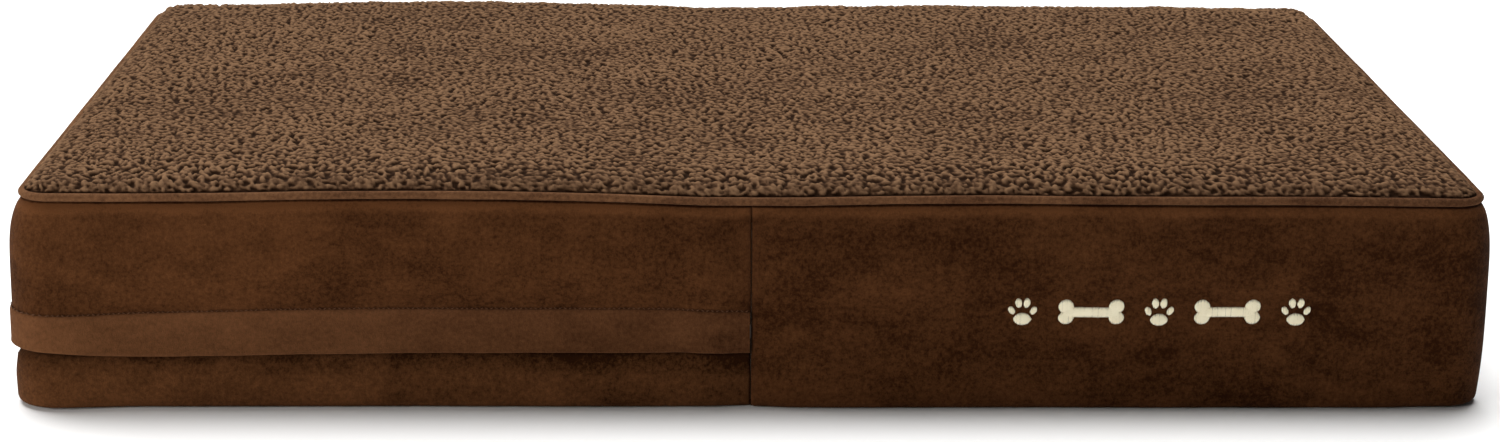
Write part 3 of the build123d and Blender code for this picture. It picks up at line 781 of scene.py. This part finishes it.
def sleeve_section():
    """The folded strip in section: up its outside and over the cord, then back round the cord
    between its two layers, whose edges hang straight down."""
    low, hollow = tail_low - piping_height, cord_radius + 0.00005
    over = np.radians(np.linspace(-116.6, 180, 16))
    back = np.radians(np.linspace(180, -117, 12))
    return np.concatenate([
        [[-0.0013, low], [-0.0013, -0.0036]],
        piping_radius * np.stack([np.cos(over), np.sin(over)], -1),
        [[-0.0029, -0.0040], [-0.0029, low], [-0.00212, low], [-0.00212, -0.0030]],
        hollow * np.stack([np.cos(back), np.sin(back)], -1),
        [[-0.00208, -0.0036], [-0.00208, low]],
    ])


def ring_points(shape, wobble):
    """A section carried round the seam, with its own small unevenness."""
    along = piping_t[None]
    lumps = 1 + wobble * ripple(along, 0 * along, 0.02, 1, 31)
    depth = piping_depth + shape[:, :1] * lumps + 0.0005 * ripple(along, 0 * along, 0.13, 1, 32)
    z = piping_height + shape[:, 1:] * lumps + hang(along, 0 * along + 0.149)
    return on_wall(along, depth, z)


# The piping's suede takes the default painted light towards the left.
piping_suede = suede("piping suede", dye(60, 36, 21), dye(114, 80, 54), 0.25, 0.6)
sleeve = sleeve_section()
piping_cloth = piece(
    "piping_cloth", ring_points(sleeve, 0.04), grid_quads(len(sleeve), len(piping_t), True, True),
    piping_suede, ["piping_sleeve"], sharp=180,
)
round_cord = cord_radius * np.stack(circle(10), -1)
cotton = Finish("piping cord", {"Roughness": 0.9})
twist = cotton.bands("DIAGONAL", 300)
cotton.wear(cotton.mix(twist, dye(150, 140, 120), dye(214, 206, 186)), height=twist, depth=0.0003)
piece("piping_core", ring_points(round_cord, 0.0), grid_quads(10, len(piping_t), True, True),
      cotton.material, ["piping_cord"], sharp=180)


# -------- boxing
# The side wall, of brown microsuede. The right half is one strip. The left half is two, one
# each side of the zip, turned in where they meet it. All roll under the bed to the base panel.
cloth_thickness = 0.0012
turn_back, base_roll, hem_depth = 0.0024, 0.0055, 0.014
lower_set_back = 0.0024
zip_face = -0.00435
wall_step = 0.0036


def seam_columns(step):
    """Distances round a half, close together at its two seams, and how far each is turned in.

    A turned edge is a quarter circle of two millimetres, then straight in beside its fellow, but
    under the bed it only stands up a little.
    """
    start = np.array([0.00015, 0.00015, 0.00015, 0.0005, 0.0010, 0.0016, 0.0024, 0.0036, 0.006])
    inset = np.array([0.0080, 0.0040, 0.0020, 0.0013, 0.0008, 0.00035, 0.0001, 0, 0])
    middle = np.linspace(0.009, half_round - 0.009, int(half_round / step))
    t = np.concatenate([start, middle, half_round - start[::-1]])
    return t, np.concatenate([inset, 0 * middle, inset[::-1]])


def top_turn():
    """The allowance behind the piping seam, and the fold over it, from outside to inside."""
    depth = np.array([0.0, -0.0001, -0.0005, -0.0012, -0.0019, -turn_back, -turn_back, -turn_back])
    z = np.array([0.1438, 0.1448, 0.1456, 0.1462, 0.1464, 0.1458, 0.1410, 0.1346])
    return depth, z


def base_turn(face, radius):
    """A quarter circle under the bed, from the base panel up to the wall."""
    bend = np.linspace(math.pi / 2, 0, 8)
    depth, z = face - radius * (1 - np.cos(bend)), radius * (1 - np.sin(bend))
    return np.concatenate([[-hem_depth], depth]), np.concatenate([[0.0], z])


def strip(name, node, material, depth, z, follow, mirror=False):
    """A wall strip from the parts of its section, carried round one half, with a turned edge at
    each seam."""
    t, inset = seam_columns(wall_step)
    if mirror:
        t, inset = full_round - t[::-1], inset[::-1]
    depth, z, follow = (np.concatenate(parts)[:, None] for parts in (depth, z, follow))
    under = np.clip(1 - z / base_roll, 0, 1)
    inwards, upwards = np.sqrt(1 - under**2) * inset, 0.15 * under * inset
    points = stuffed(t[None], depth - inwards, z + upwards, follow)
    obj = piece(name, points, grid_quads(len(z), len(t)), material, [node])
    give(obj, "height", np.repeat(z.ravel(), len(t)))
    thicken(obj, cloth_thickness)
    return obj


# The boxing's suede takes painted light towards the left.
boxing_suede = suede("boxing suede", dye(38, 17, 5), dye(88, 54, 30), 0.34, 0.6, 0.3)
# The lower strip's suede takes stronger painted light towards the left, and a painted shadow where
# the flap hangs over it.
lower_suede = suede("lower boxing suede", dye(34, 15, 4), dye(94, 59, 34), 0.30, 0.6, 0.75, 0.35)
fold_depth, fold_z = top_turn()
roll_depth, roll_z = base_turn(0.0, base_roll)
rise = np.linspace(base_roll, fold_z[0], 44)[1:-1]
strip("boxing_right", "plain_boxing", boxing_suede, (roll_depth, 0 * rise, fold_depth),
      (roll_z, rise, fold_z), ([0], np.ones(len(roll_z) + len(rise) + len(fold_z) - 1)), True)
facing_depth = np.array([zip_face, zip_face, -0.0037, -0.0024, -0.0010, -0.0003, 0.0])
facing_z = np.array([0.0584, 0.0602, 0.0622, 0.0656, 0.0676, 0.0690, 0.0706])
facing_follow = np.array([0, 0, 0.1, 0.4, 0.8, 1, 1])
rise = np.linspace(facing_z[-1], fold_z[0], 27)[1:-1]
strip("boxing_left_upper", "zip_boxing_upper", boxing_suede,
      (facing_depth, 0 * rise, fold_depth), (facing_z, rise, fold_z),
      (facing_follow, np.ones(len(rise) + len(fold_z))))
roll_depth, roll_z = base_turn(-lower_set_back, base_roll)
rise = np.linspace(roll_z[-1], 0.0375, 10)[1:]
drawn_in = lower_set_back + 0.0022 * smooth(rise, 0.020, 0.038)
facing_depth = np.array([-0.0046, -0.0046, -0.0045, zip_face, zip_face])
facing_z = np.array([0.0392, 0.0404, 0.0420, 0.0438, 0.0476])
strip("boxing_left_lower", "zip_boxing_lower", lower_suede,
      (roll_depth, -drawn_in, facing_depth), (roll_z, rise, facing_z),
      ([0], np.ones(len(roll_z) + len(rise) - 1), [0.8, 0.5, 0.2, 0, 0]))


# -------- cover zip
# A brown nylon coil zip round the whole left half, sewn behind the turned edges, with a metal
# slider parked at its front end, a pull tab on it and metal stops at both ends.
coil_pitch, wire_radius = 0.0019, 0.00033
coil_depth, coil_half_depth = -0.00475, 0.00066


def coil(node, name, turn_way):
    """A wire wound in an oval and carried along the zip: the centreline turns once a pitch."""
    low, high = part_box(node)
    middle_z, half_z = (low[2] + high[2]) / 2, (high[2] - low[2]) / 2 - wire_radius
    t = np.arange(0.102, half_round - 0.033, coil_pitch / 9)
    spin = 2 * math.pi * t / coil_pitch
    height = middle_z + turn_way * half_z * np.sin(spin)
    line = on_wall(t, coil_depth + coil_half_depth * np.cos(spin), height)
    ahead = np.gradient(line, axis=0)
    ahead /= np.linalg.norm(ahead, axis=1, keepdims=True)
    _, out = around(t)
    out = np.concatenate([out, 0 * out[:, :1]], -1)
    over = np.cross(ahead, out)
    over /= np.linalg.norm(over, axis=1, keepdims=True)
    under = np.cross(over, ahead)
    outwards, upwards = (part[:, None, None] for part in circle(5))
    rings = line[None] + wire_radius * (outwards * under[None] + upwards * over[None])
    return piece(name, rings, grid_quads(5, len(t), True), coil_nylon, [node],
                 caps=open_ends(5, len(t)), sharp=180)


coil_nylon = moulded("zip coil", dye(96, 66, 44))
coil("zip_coil_upper", "coil_upper", 1)
coil("zip_coil_lower", "coil_lower", -1)
dress(zip_tape("zip tape", dye(88, 58, 38)), "zip_tape_upper", "zip_tape_lower")
dress(slider_metal, "zip_top_stops", "zip_bottom_stop", "zip_slider", "zip_pull_tab")


# -------- zip flap
# A doubled strip of smoother suede sewn down above the zip, which hangs over it. It is caught
# at the seams and the corners and lifts between them, so it is cut here where it starts to lift.
flap_t_step = 0.003
flap_edge = np.random.default_rng(41).uniform(1.2, 2.8, 64)
flap_edge[:13] = [3.0, 4.6, 4.8, 4.8, 4.6, 4.4, 3.6, 2.8, 2.0, 2.0, 8.5, 3.0, 2.0]


def flap_section():
    """Outer face up from the hem to the stitched root, over it, and the inner face down again."""
    root, hem, inner, outer = 0.0690, 0.0375, -0.0004, 0.0016
    hem_z = hem + np.array([0.0006, 0.0002, 0.0, 0.0004, 0.0012, 0.0026])
    hem_depth = np.array([inner + 0.0002, 0.0001, 0.0006, 0.0012, outer + 0.0002, outer + 0.0001])
    face_z = np.linspace(hem_z[-1] + 0.002, root - 0.0036, 10)
    root_z = root + np.array([-0.0024, -0.0012, -0.0003, 0.0, -0.0004])
    root_depth = np.array([0.0015, 0.0012, 0.0007, 0.0001, -0.0003])
    back_z = np.linspace(root - 0.002, hem_z[0] + 0.0015, 8)
    depth = np.concatenate([hem_depth, np.full(10, outer), root_depth, np.full(8, inner)])
    return depth, np.concatenate([hem_z, face_z, root_z, back_z])


def flap_piece(name, node, start, end, body=None, held_at=None, free_at=None):
    """A closed length of flap. Its hem wanders up, down and outwards from the wall."""
    depth, z = (part[:, None] for part in flap_section())
    t = np.linspace(start, end, max(4, int((end - start) / flap_t_step)))[None]
    low = np.clip((0.0690 - z) / 0.0315, 0, 1)
    lifted = 0.001 * read_table(flap_edge[None], t * 64 / full_round, 0) * low**1.5
    kick = 0.0004 + 0.0038 * lifting(t) + 0.0010 * ripple(t, 0 * t, 0.06, 1, 42)
    kick = kick * low**2 * np.minimum(1, t / 0.02)
    points = stuffed(t, depth + kick, z)
    points[..., 2] += lifted
    obj = piece(name, points, grid_quads(len(depth), t.size, True), flap_suede,
                [node], body=None if body else "cushion", caps=open_ends(len(depth), t.size))
    if body:
        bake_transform(obj)
    end - start
    return obj


# The flap's suede takes the strongest painted light towards the left.
flap_suede = suede("flap suede", dye(42, 20, 8), dye(100, 65, 40), 0.14, 0.4, 0.95)
flap_gap, flap_hold, flap_cut = 0.0008, 0.012, 0.24
front_free, side_free = straight_x - 0.0564, straight_y - 0.0619
seam_ends = (-flap_hold, 0, 0), (-0.092, 0, 0)
corner_ends = (-straight_x, 0, 0), (-front_free, 0, 0)
flap_pieces = [
    ("held_front_seam", "end_front_seam"),
    ("front_seam_half", "front", "front_flap", *seam_ends),
    ("front_corner_half", "front", "front_flap", *corner_ends),
    ("held_front_corner", "end_front_corner"),
    ("left_front_half", "left", "left_flap", (0, -straight_y, 0), (0, -side_free, 0)),
    ("left_back_half", "left", "left_flap", (0, straight_y, 0), (0, side_free, 0)),
    ("held_back_corner", "end_back_corner"),
    ("back_corner_half", "back", "back_flap", *corner_ends),
    ("back_seam_half", "back", "back_flap", *seam_ends),
    ("held_back_seam", "end_back_seam"),
]
side_t = straight_x + corner_arc + straight_y
stops = [flap_gap, flap_hold, flap_cut, straight_x]
stops = [*stops, straight_x + corner_arc, side_t, side_t + straight_y,
         *(half_round - stop for stop in stops[::-1])]
for (name, node, *blended), start, end in zip(flap_pieces, stops, stops[1:]):
    flap_piece("flap_" + name, "flap_" + node, start, end, *blended)


# -------- topstitching
# Two rows of brown thread: one holds the flap's root down above the zip, the other the turned
# edge below the zip to its tape. The flap's row is a shallow zigzag that shows as needle marks.
def tubes(count, rings, sides):
    """Quads and end caps of many separate tubes, all with so many rings and sides."""
    each = rings * sides * np.arange(count)
    quads = grid_quads(rings, sides, False, True)[None] + each[:, None, None]
    first = each[:, None] + np.arange(sides)
    return quads.reshape(-1, 4), [*first, *(first + (rings - 1) * sides)[:, ::-1]]


def stitches(name, node, start, end, depth, z, length, thick, slant, pitch, follow=1.0):
    """Short threads in a row: each a six-sided bead drawn out along its slant, sunk at its ends."""
    middle = np.arange(start, end, pitch)
    way = np.where(np.arange(len(middle)) % 2, 1.0, -1.0) * slant
    share = np.array([-1, -0.8, 0, 0.8, 1])
    girth = np.array([0.3, 0.85, 1, 0.85, 0.3])
    beside, above = circle(6)
    reach = share[:, None] * length / 2
    over = girth[:, None] * thick * beside
    lift = girth[:, None] * thick * above - thick * 0.6 * share[:, None] ** 2
    turn = way[:, None, None]
    t = middle[:, None, None] + reach * np.cos(turn) - over * np.sin(turn)
    up = reach * np.sin(turn) + over * np.cos(turn)
    points = stuffed(t, depth + lift, z + up, follow)
    quads, caps = tubes(len(middle), 5, 6)
    piece(name, points, quads, brown_thread, [node], caps=caps, sharp=180)


def thread(name, dark, light):
    """Twisted thread: fine slanting plies."""
    finish = Finish(name, {"Roughness": 0.75, "Specular IOR Level": 0.15})
    plies, cloud = finish.bands("DIAGONAL", 1100), finish.noise(120, 2)
    shade = finish.mix(plies * 0.5 + cloud * 0.5, dark, light)
    return finish.wear(shade, height=plies, depth=0.0001)


brown_thread = thread("brown thread", dye(62, 36, 20), dye(104, 70, 46))
stitches("flap_stitches", "flap_topstitching", 0.003, half_round - 0.003, 0.0007, 0.0696,
         0.0019, 0.00042, 0.5, 0.0034)
stitches("zip_stitches", "zip_topstitching", 0.011, half_round - 0.011, zip_face + 0.0001, 0.0456,
         0.0024, 0.00025, 0.0, 0.0032, 0.0)


# -------- base panel
# A flat panel of tough woven cloth under the bed, sewn to the rolled-under edges of the boxing.
def base_weave():
    """Plain weave: two sets of ribs at right angles, with slubs."""
    finish = Finish("base cloth", {"Roughness": 0.85, "Specular IOR Level": 0.2})
    weave = finish.bands("X", 260) * 0.5 + finish.bands("Y", 260) * 0.5
    slubs = finish.noise(70, 3, 0.6, finish.stretched((1, 5, 1)))
    colour = finish.mix(weave * 0.5 + slubs * 0.6 - 0.1, dye(34, 22, 14), dye(74, 52, 38))
    return finish.wear(colour, height=weave, depth=0.0003)


def laid_flat(x, y, top):
    """Flat on the floor, lifted a little in shallow puckers towards its hem."""
    edge = np.maximum(np.abs(x) / straight_x, np.abs(y) / straight_y)
    return top + 0.0002 * smooth(edge, 0.9, 1.0) * np.sin(260 * (x + y)).clip(-1, 0)


cloth_disc("base_panel", base_weave(), outermost("base_panel"), laid_flat, 0.008)


# -------- embroidery
# Paws and bones in cream satin stitch on the right of the front: threads laid side by side
# over padding, so that every shape stands up in the middle.
motif_low, motif_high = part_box("embroidered_motif")
motif_x = float(motif_low[0] + motif_high[0]) / 2 - 0.003
motif_z = float(motif_low[2] + motif_high[2]) / 2 + 0.001
thread_pitch, thread_radius, padding = 0.00042, 0.00030, 0.0009


def paw(x):
    """Ovals of a paw at x: a wide pad and four toes (centre, half width, half height, tilt)."""
    toes = [(-0.0076, 0.0008, 0.0021, 0.0032, 0.45), (-0.0029, 0.0062, 0.0023, 0.0036, 0.12),
            (0.0029, 0.0062, 0.0023, 0.0036, -0.12), (0.0076, 0.0008, 0.0021, 0.0032, -0.45)]
    return [(x + a, b, c, d, e) for a, b, c, d, e in toes + [(0, -0.0056, 0.0060, 0.0046, 0)]]


def bone(x):
    """Ovals of a bone at x: two knobs at each end and a long shank."""
    knobs = [(side * 0.0175, up * 0.0040, 0.0052, 0.0050, 0) for side in (-1, 1) for up in (-1, 1)]
    return [(x + a, b, c, d, e) for a, b, c, d, e in knobs + [(0, 0, 0.0185, 0.0036, None)]]


def satin(ovals):
    """Threads that fill ovals: one line each pitch across, from the lower to the upper rim.

    An oval tilted by an angle is cut by a vertical line where the quadratic of its equation is
    nought. A shape whose tilt is None is a bar with straight sides instead.
    """
    rows = []
    for x0, z0, wide, tall, tilt in ovals:
        bar = tilt is None
        turn = 0 if bar else tilt
        c, s = math.cos(turn), math.sin(turn)
        reach = math.sqrt((wide * c) ** 2 + (tall * s) ** 2)
        x = np.arange(-reach + thread_pitch / 2, reach, thread_pitch)
        a = (s / wide) ** 2 + (c / tall) ** 2
        b = 2 * x * s * c * (1 / wide**2 - 1 / tall**2)
        rest = x * x * ((c / wide) ** 2 + (s / tall) ** 2) - 1
        half = np.sqrt(np.clip(b * b - 4 * a * rest, 0, None)) / (2 * a)
        middle = -b / (2 * a)
        if bar:
            half, middle = np.full_like(x, tall), 0 * x
        across = np.ones_like(x) if bar else np.sqrt(np.clip(1 - (x / reach) ** 2, 0.05, 1))
        rows.append(np.stack([x0 + x, z0 + middle - half, z0 + middle + half, across], -1))
    rows = np.concatenate(rows)
    return rows[rows[:, 2] - rows[:, 1] > 0.0008]


shapes = paw(-0.0945) + bone(-0.0470) + paw(0.0) + bone(0.0470) + paw(0.0945)
laid = satin(shapes)
jitter = np.random.default_rng(51).normal(0, 0.00008, (len(laid), 2))
share = np.linspace(-1, 1, 9)
girth = np.array([0.35, 0.8, 1, 1, 1, 1, 1, 0.8, 0.35])
beside, above = circle(5)
middle = (laid[:, 1] + laid[:, 2]) / 2
half = (laid[:, 2] - laid[:, 1]) / 2
run = middle[:, None] + (half + jitter[:, 0])[:, None] * share
dome = np.sqrt(np.clip(1 - share**2, 0, 1))
puff = padding * laid[:, 3, None] * dome * np.clip(half / 0.003, 0.4, 1)[:, None]
side = laid[:, 0, None, None] + girth[:, None] * thread_radius * beside
side = side + jitter[:, 1, None, None]
lift = 0.0001 + puff[..., None] + girth[:, None] * thread_radius * above
where_t = full_round - (motif_x + side)
points = stuffed(where_t, lift, motif_z + run[..., None] + 0 * side)
quads, caps = tubes(len(laid), len(share), len(beside))
cream = thread("cream thread", dye(232, 220, 186), dye(255, 250, 226))
piece("paws_and_bones", points, quads, cream, ["embroidered_motif"],
      caps=caps, sharp=180)
